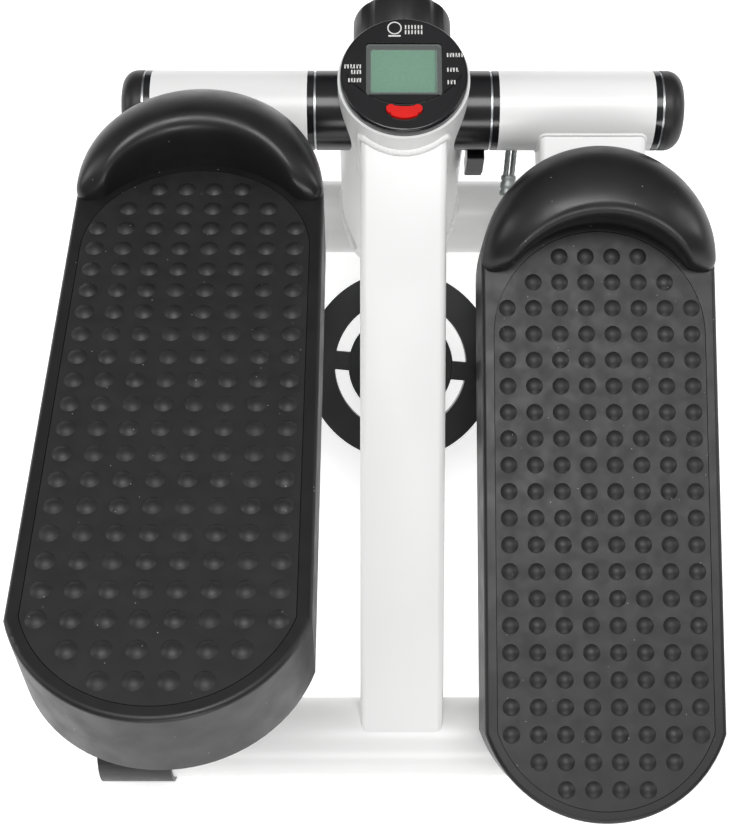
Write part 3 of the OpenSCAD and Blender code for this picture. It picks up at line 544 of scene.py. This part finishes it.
class STEPPER_OT_toe_caps(Operator):
    """Model the moulded toe caps: a sheet laid over their sections, closed underneath"""
    bl_idname = "stepper.toe_caps"
    bl_label = "Toe caps"

    def execute(self, context):
        profile = toe_profile()
        across, along = len(profile) - 1, 96
        for side, word in SIDES.items():
            deselect()
            bpy.ops.mesh.primitive_grid_add(x_subdivisions=along, y_subdivisions=across, size=1)
            piece = bpy.context.object
            for v in piece.data.vertices:
                t = math.sin(math.pi * v.co.x)
                share, rise = profile[round((v.co.y + 0.5) * across)]
                v.co = pedal_point(side, toe_point(t, share, rise))
            bpy.ops.object.mode_set(mode="EDIT")
            bpy.ops.mesh.select_all(action="SELECT")
            bpy.ops.mesh.remove_doubles(threshold=SAME_PLACE)
            bpy.ops.mesh.select_all(action="DESELECT")
            bpy.ops.mesh.select_non_manifold()
            bpy.ops.mesh.edge_face_add()
            bpy.ops.mesh.select_all(action="SELECT")
            bpy.ops.mesh.normals_make_consistent(inside=False)
            bpy.ops.object.mode_set(mode="OBJECT")
            bpy.ops.object.shade_smooth_by_angle(angle=math.radians(55))
            seat(piece, f"{word}_toe_cap_moulding", f"{word}_arm_body", "toe_plastic")
            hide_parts(f"{word}_toe_cap")
        return {"FINISHED"}


class STEPPER_OT_edges(Operator):
    """Round the cut and moulded edges of the pieces in view"""
    bl_idname = "stepper.edges"
    bl_label = "Edges"

    def execute(self, context):
        for names, share, angle in (
                ("console_housing reset_button", 0.9, 50), ("adjuster_knob", 1.2, 40),
                ("sensor_block", 1.2, 50),
                ("front_left_foot front_right_foot rear_left_foot rear_right_foot", 1.6, 50),
                ("left_pedal_bolts right_pedal_bolts", 0.6, 40),
                ("pulley_bolt axle_nuts", 0.8, 40)):
            for name in names.split():
                round_edges(frame["nodes"][name], sizes().edge_round * share, angle)
        return {"FINISHED"}


class STEPPER_OT_beam(Operator):
    """Model the main beam's tube at its full width"""
    bl_idname = "stepper.beam"
    bl_label = "Beam"

    def execute(self, context):
        low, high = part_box("main_beam")
        piece = merged_copy("main_beam", "main_beam_tube")
        bpy.ops.object.mode_set(mode="EDIT")
        bpy.ops.mesh.select_all(action="SELECT")
        bpy.ops.transform.resize(value=(sizes().beam_width / (high.x - low.x), 1, 1),
                                 center_override=(0, 0, 0))
        bpy.ops.object.mode_set(mode="OBJECT")
        bpy.ops.object.shade_smooth_by_angle(angle=math.radians(40))
        flats = piece.modifiers.new("flat_faces", "WEIGHTED_NORMAL")
        flats.keep_sharp = True
        flats.weight = 100
        seat(piece, "main_beam_tube", "frame", "white_paint")
        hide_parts("main_beam")
        return {"FINISHED"}


def post_radius():
    low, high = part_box("front_post")
    return (high.x - low.x) / 2


def beam_foot_points():
    """Line where the beam's outline meets the post."""
    radius = post_radius()
    slope = BEAM_SLOPE
    top = BEAM_TOP + radius * math.tan(slope)
    points = []
    for p in rounded_box(sizes().beam_width, 0, -BEAM_HEIGHT, BEAM_CORNER):
        d = -p.y
        back = (d * math.sin(slope) + math.sqrt(radius ** 2 - p.x ** 2)) / math.cos(slope)
        points.append((p.x, AXLE.y - back * math.cos(slope) + d * math.sin(slope),
                       top - back * math.sin(slope) - d * math.cos(slope)))
    return points


def rounded_box(width, high, low, corner):
    """Outline of a rounded box, from one corner round, in short steps."""
    half = width / 2 - corner
    outline = []
    for x, z, start in ((half, high - corner, 90), (half, low + corner, 0),
                        (-half, low + corner, -90), (-half, high - corner, -180)):
        for k in range(5):
            a = math.radians(start - 22.5 * k)
            outline.append(Vector((x + corner * math.cos(a), z + corner * math.sin(a))))
    dense = []
    for a, b in zip(outline, outline[1:] + outline[:1]):
        steps = max(1, round((b - a).length / BEAD_STEP))
        dense += [a.lerp(b, k / steps) for k in range(steps)]
    return dense


def arm_foot_points(side):
    """Line where an arm's tube meets its sleeve."""
    s = sizes()
    low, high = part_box("left_sleeve")
    radius = (high.z - low.z) / 2
    return [pedal_point(side, (p.x, -math.sqrt(radius ** 2 - p.y ** 2), p.y))
            for p in rounded_box(s.arm_width, s.arm_top, s.arm_top - s.arm_height, ARM_CORNER)]


class STEPPER_OT_welds(Operator):
    """Model the weld beads that join the frame's tubes and the arms' sleeves"""
    bl_idname = "stepper.welds"
    bl_label = "Welds"

    def execute(self, context):
        bead(beam_foot_points(), "beam_to_post_weld", "frame", closed=True)
        low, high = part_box("front_crossbar")
        height = (low.z + high.z) / 2
        half = 52
        for side, word in SIDES.items():
            points = []
            for k in range(-half, half + 1):
                y = CROSSBAR_RADIUS * 0.99 * math.sin(math.pi / 2 * k / half)
                points.append((side * math.sqrt(post_radius() ** 2 - y ** 2), AXLE.y + y,
                               height + math.sqrt(CROSSBAR_RADIUS ** 2 - y ** 2)))
            bead(points, f"{word}_post_to_crossbar_weld", "frame")
            bead(arm_foot_points(side), f"{word}_arm_to_sleeve_weld", f"{word}_arm_body",
                 closed=True, share=0.45)
        return {"FINISHED"}


def in_pulley(point):
    """A point of the pulley's own frame, +Y up the beam, in the row frame."""
    turn = Matrix.Rotation(BEAM_SLOPE, 3, "X")
    return PULLEY_CENTRE + turn @ Vector(point)


def lug_eye(side):
    s = sizes()
    middle = (s.up_angle - s.down_angle) / 2
    tilt = s.up_angle if side == LEFT else -s.down_angle
    turn = middle + BEAM_SLOPE - tilt
    return Vector((side * s.lug_side, AXLE.y + s.lug_radius * math.sin(turn),
                   AXLE.z - s.lug_radius * math.cos(turn)))


def touch_angle(side):
    """Angle round the pulley at which the strand of a side leaves the groove."""
    local = Matrix.Rotation(-BEAM_SLOPE, 3, "X") @ (lug_eye(side) - PULLEY_CENTRE)
    across, along = abs(local.x), local.y
    return math.atan2(along, across) - math.acos(sizes().groove_radius / math.hypot(across, along))


def rope(points):
    """A laid wire rope along points."""
    s = sizes()
    deselect()
    bpy.ops.curve.primitive_bezier_circle_add(radius=s.rope_diameter / 2)
    section = bpy.context.object
    section.data.splines.clear()
    spline = section.data.splines.new("POLY")
    count = s.rope_strands * 4
    spline.points.add(count - 1)
    for k, p in enumerate(spline.points):
        a = 2 * math.pi * k / count
        r = s.rope_diameter / 2 * (0.8 + 0.2 * abs(math.cos(s.rope_strands * a / 2)))
        p.co = (r * math.cos(a), r * math.sin(a), 0, 1)
    spline.use_cyclic_u = True
    curve = poly_line(points)
    curve.data.bevel_mode = "OBJECT"
    curve.data.bevel_object = section
    curve.data.use_fill_caps = True
    for p, run in runs(curve):
        p.tilt = 2 * math.pi * run / s.rope_lay
    only(curve)
    bpy.ops.object.convert(target="MESH")
    piece = bpy.context.object
    bpy.ops.object.shade_smooth_by_angle(angle=math.radians(50))
    bpy.data.objects.remove(section)
    return piece


def rope_loop(eye, way, across):
    """Centre line of the doubled rope: out of the ferrule, through the lug and back."""
    s = sizes()
    middle = eye - way * s.eye_radius
    half = s.rope_diameter * 0.56
    leg = []
    for k in range(29):
        t = k / 28
        near = 1 - min(1, (1 - t) / 0.45)
        wide = half + (s.eye_radius - half) * near * near * (3 - 2 * near)
        leg.append((s.rope_legs * (t - 1), wide))
    turn = [(s.eye_radius * math.sin(math.radians(a)), s.eye_radius * math.cos(math.radians(a)))
            for a in range(15, 166, 15)]
    path = leg + turn + [(u, -w) for u, w in reversed(leg)]
    return [middle + way * u + across * w for u, w in path]


def crimped_ferrule(mouth, way, across):
    """An oval ferrule with two crimped waists, from its mouth along way."""
    s = sizes()
    deselect()
    bpy.ops.mesh.primitive_cylinder_add(vertices=28, radius=1, depth=1, location=(0, 0, 0.5))
    piece = bpy.context.object
    bpy.ops.object.transform_apply(location=True, rotation=True, scale=True)
    bpy.ops.object.mode_set(mode="EDIT")
    for cut in (0.04, 0.2, 0.3, 0.4, 0.6, 0.7, 0.8, 0.96):
        bpy.ops.mesh.select_all(action="SELECT")
        bpy.ops.mesh.bisect(plane_co=(0, 0, cut), plane_no=(0, 0, 1))
    mesh = bmesh.from_edit_mesh(piece.data)
    for height, width in ((0.0, 0.88), (0.3, 0.86), (0.7, 0.86), (1.0, 0.88)):
        for v in mesh.verts:
            v.select = abs(v.co.z - height) < 0.01
        mesh.select_flush_mode()
        bmesh.update_edit_mesh(piece.data)
        bpy.ops.transform.resize(value=(width, width, 1))
    bpy.ops.object.mode_set(mode="OBJECT")
    up = way.cross(across)
    half = s.rope_diameter * 1.35
    axes = Matrix((across * half, up * half * 0.66, way * s.ferrule_length)).transposed()
    piece.data.transform(Matrix.Translation(mouth) @ axes.to_4x4())
    only(piece)
    bpy.ops.object.mode_set(mode="EDIT")
    bpy.ops.mesh.select_all(action="SELECT")
    bpy.ops.mesh.normals_make_consistent(inside=False)
    bpy.ops.object.mode_set(mode="OBJECT")
    bpy.ops.object.shade_smooth_by_angle(angle=math.radians(50))
    return piece


class STEPPER_OT_wire_rope(Operator):
    """Model the laid wire rope: its turn round the pulley and the strand to each lug"""
    bl_idname = "stepper.wire_rope"
    bl_label = "Wire rope"

    def execute(self, context):
        s = sizes()
        left, right = touch_angle(LEFT), touch_angle(RIGHT)
        start, span = math.pi - left, math.pi + left + right
        wrap = []
        for k in range(WRAP_STEPS + 1):
            a = start + span * k / WRAP_STEPS
            wrap.append(in_pulley((s.groove_radius * math.cos(a),
                                   s.groove_radius * math.sin(a), 0)))
        piece = seat(rope(wrap), "rope_turn", "frame", "wire_rope")
        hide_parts("cable")
        for side, word in SIDES.items():
            a = touch_angle(side)
            touch = in_pulley((side * s.groove_radius * math.cos(a),
                               s.groove_radius * math.sin(a), 0))
            eye = lug_eye(side)
            way = (eye - touch).normalized()
            across = way.cross(PULLEY_WAY).normalized()
            mouth = eye - way * (s.eye_radius + s.rope_legs + s.ferrule_length)
            steps = round((mouth - touch).length / (1.3 * MM))
            inside = mouth + way * 2 * MM
            strand = seat(rope([touch.lerp(inside, k / steps) for k in range(steps + 1)]),
                          f"{word}_rope_strand", None, "wire_rope")
            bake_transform(strand)
            loop = join([rope(rope_loop(eye, way, across)), crimped_ferrule(mouth, way, across)])
            seat(loop, f"{word}_rope_eye", f"{word}_arm_body", "wire_rope")
            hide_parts(f"{word}_cable_end")
        return {"FINISHED"}


def printed_stroke(centre, width, height):
    """A flat printed stroke with round ends on the console's top face."""
    deselect()
    bpy.ops.mesh.primitive_plane_add(size=1, location=centre)
    piece = bpy.context.object
    piece.scale = (width, height, 1)
    bpy.ops.object.transform_apply(location=True, rotation=True, scale=True)
    bpy.ops.object.mode_set(mode="EDIT")
    bpy.ops.mesh.select_all(action="SELECT")
    bpy.ops.mesh.bevel(offset=min(width, height) * 0.3, segments=2, affect="VERTICES")
    bpy.ops.mesh.select_all(action="SELECT")
    bpy.ops.mesh.extrude_region_move(TRANSFORM_OT_translate={"value": (0, 0, INK)})
    bpy.ops.mesh.select_all(action="SELECT")
    bpy.ops.mesh.normals_make_consistent(inside=False)
    bpy.ops.object.mode_set(mode="OBJECT")
    return piece


def join(parts):
    """Joins pieces into the first of them."""
    deselect()
    for p in parts:
        p.select_set(True)
    bpy.context.view_layer.objects.active = parts[0]
    bpy.ops.object.join()
    return bpy.context.object


# Rows of printed strokes in millimetres: distance ahead of the axle, length and side
MARK_ROWS = ((4.0, 9.0, LEFT), (0.9, 5.6, LEFT), (-3.7, 7.0, LEFT),
             (10.5, 8.6, RIGHT), (2.2, 5.9, RIGHT), (-4.7, 4.8, RIGHT))
MARKS_START = 20.9


class STEPPER_OT_console_marks(Operator):
    """Print plain strokes beside the display, and a ring and two rows of strokes over it"""
    bl_idname = "stepper.console_marks"
    bl_label = "Console marks"

    def execute(self, context):
        high, thick = sizes().print_height, 0.7 * MM
        parts = []

        def stroke(x, y, width=thick, height=high):
            at = Vector((x * MM, AXLE.y + y * MM, CONSOLE_TOP))
            parts.append(printed_stroke(at, width, height))

        for y, width, way in MARK_ROWS:
            count = round(width / 1.55)
            for k in range(count):
                x = way * (MARKS_START + (k + 0.5) * width / count)
                stroke(x, y)
                if k % 2:
                    stroke(x + 0.35, y + (0.8 if k % 4 == 1 else -0.8), 0.9 * MM, thick)
        bpy.ops.mesh.primitive_torus_add(
            major_segments=40, minor_segments=6, major_radius=3.3 * MM, minor_radius=0.6 * MM,
            location=(-4.6 * MM, AXLE.y + 25.8 * MM, CONSOLE_TOP - 0.3 * MM))
        bpy.ops.transform.resize(value=(1, 1, 0.6))
        parts.append(bpy.context.object)
        stroke(-4.6, 21.3, 6.2 * MM, 0.9 * MM)
        for y in (26.3, 23.4):
            for k in range(6):
                stroke(0.9 + 1.6 * k, y)
        seat(join(parts), "console_marks", "frame", "clear_window", "print")
        return {"FINISHED"}


class STEPPER_OT_stage(Operator):
    """Set up the floor, lights, world and camera"""
    bl_idname = "stepper.stage"
    bl_label = "Studio"

    def execute(self, context):
        deselect()
        bpy.ops.mesh.primitive_grid_add(x_subdivisions=8, y_subdivisions=8, size=24,
                                        location=(0, 0, 0))
        floor = bpy.context.object
        floor.name = "studio_floor"
        mat, tree, shader, place = start_material("studio_floor_paper", Roughness=0.9, IOR=1.4)
        tree.links.new(blend_colours(tree, mottle(tree, place, 400, 2), linear(colours().floor),
                                     linear("fbfbfb")), shader.inputs["Base Color"])
        shader.inputs["Emission Color"].default_value = linear("ffffff")
        shader.inputs["Emission Strength"].default_value = 0.5
        floor.data.materials.append(mat)
        for name, at, aim, width, depth, power in (
                ("overhead_softbox", (0.0, -0.05, 2.1), (0, -0.05, 0), 1.3, 0.8, 22),
                ("rear_softbox", (0.2, -1.9, 1.0), (0, 0, 0.1), 1.2, 0.5, 11),
                ("left_softbox", (-1.6, 0.2, 0.9), (0, 0, 0.1), 0.7, 0.7, 5),
                ("right_softbox", (1.6, 0.2, 0.9), (0, 0, 0.1), 0.7, 0.7, 5)):
            bpy.ops.object.light_add(type="AREA", location=at)
            lamp = bpy.context.object
            lamp.name = name
            lamp.data.shape = "RECTANGLE"
            lamp.data.size, lamp.data.size_y = width, depth
            lamp.data.energy = power
            lamp.rotation_euler = (Vector(aim) - Vector(at)).to_track_quat("-Z", "Y").to_euler()
        world = bpy.data.worlds.new("studio")
        context.scene.world = world
        world.use_nodes = True
        tree = world.node_tree
        tree.nodes.clear()
        height = add(tree, "ShaderNodeSeparateXYZ", links={
            0: add(tree, "ShaderNodeTexCoord").outputs["Generated"]}).outputs[2]
        dome = blend_colours(tree, spread(tree, height, 0.35, 0.9, 0.0, 1.0), linear("5a5a5c"),
                             linear("c9c9ca"))
        shade = add(tree, "ShaderNodeBackground", {"Strength": 0.8}, {"Color": dome})
        add(tree, "ShaderNodeOutputWorld", links={0: shade.outputs[0]})
        context.scene.view_settings.view_transform = "Standard"
        studio = context.scene.stepper_studio
        bpy.ops.object.camera_add(location=Vector((0, AXLE.y, 0)) + Vector(studio.eye))
        camera = bpy.context.object
        camera.name = "studio_camera"
        camera.data.lens = studio.lens
        camera.data.sensor_width = 36
        camera.data.clip_start = 0.01
        camera.data.shift_x, camera.data.shift_y = studio.shift
        look = Matrix.Rotation(-studio.yaw, 3, "Z") @ Matrix.Rotation(
            math.pi / 2 - studio.pitch, 3, "X") @ Matrix.Rotation(-studio.roll, 3, "Z")
        camera.rotation_euler = look.to_euler()
        context.scene.camera = camera
        return {"FINISHED"}


class STEPPER_PT_panel(Panel):
    """Lists the steps that finish the stepper"""
    bl_label = "Mini Stepper"
    bl_idname = "STEPPER_PT_panel"
    bl_space_type = "VIEW_3D"
    bl_region_type = "UI"
    bl_category = "Stepper"

    def draw(self, context):
        for group in (context.scene.stepper_sizes, context.scene.stepper_colours,
                      context.scene.stepper_studio):
            box = self.layout.box()
            for name in group.bl_rna.properties.keys():
                if name not in ("rna_type", "name"):
                    box.prop(group, name)
        for operator in OPERATORS:
            self.layout.operator(operator.bl_idname)


GROUPS = {"stepper_sizes": StepperSizes, "stepper_colours": StepperColours,
          "stepper_studio": StepperStudio}
OPERATORS = [STEPPER_OT_finishes, STEPPER_OT_toe_caps, STEPPER_OT_edges, STEPPER_OT_beam,
             STEPPER_OT_welds, STEPPER_OT_wire_rope, STEPPER_OT_console_marks, STEPPER_OT_stage]


def register():
    for cls in (*GROUPS.values(), *OPERATORS, STEPPER_PT_panel):
        bpy.utils.register_class(cls)
    for name, group in GROUPS.items():
        setattr(bpy.types.Scene, name, PointerProperty(type=group))


def unregister():
    for name in GROUPS:
        delattr(bpy.types.Scene, name)
    for cls in reversed((*GROUPS.values(), *OPERATORS, STEPPER_PT_panel)):
        bpy.utils.unregister_class(cls)


def main():
    register()
    for operator in OPERATORS:
        group, name = operator.bl_idname.split(".")
        getattr(getattr(bpy.ops, group), name)()
    deselect()
    bpy.context.view_layer.update()


if __name__ == "__main__":
    main()
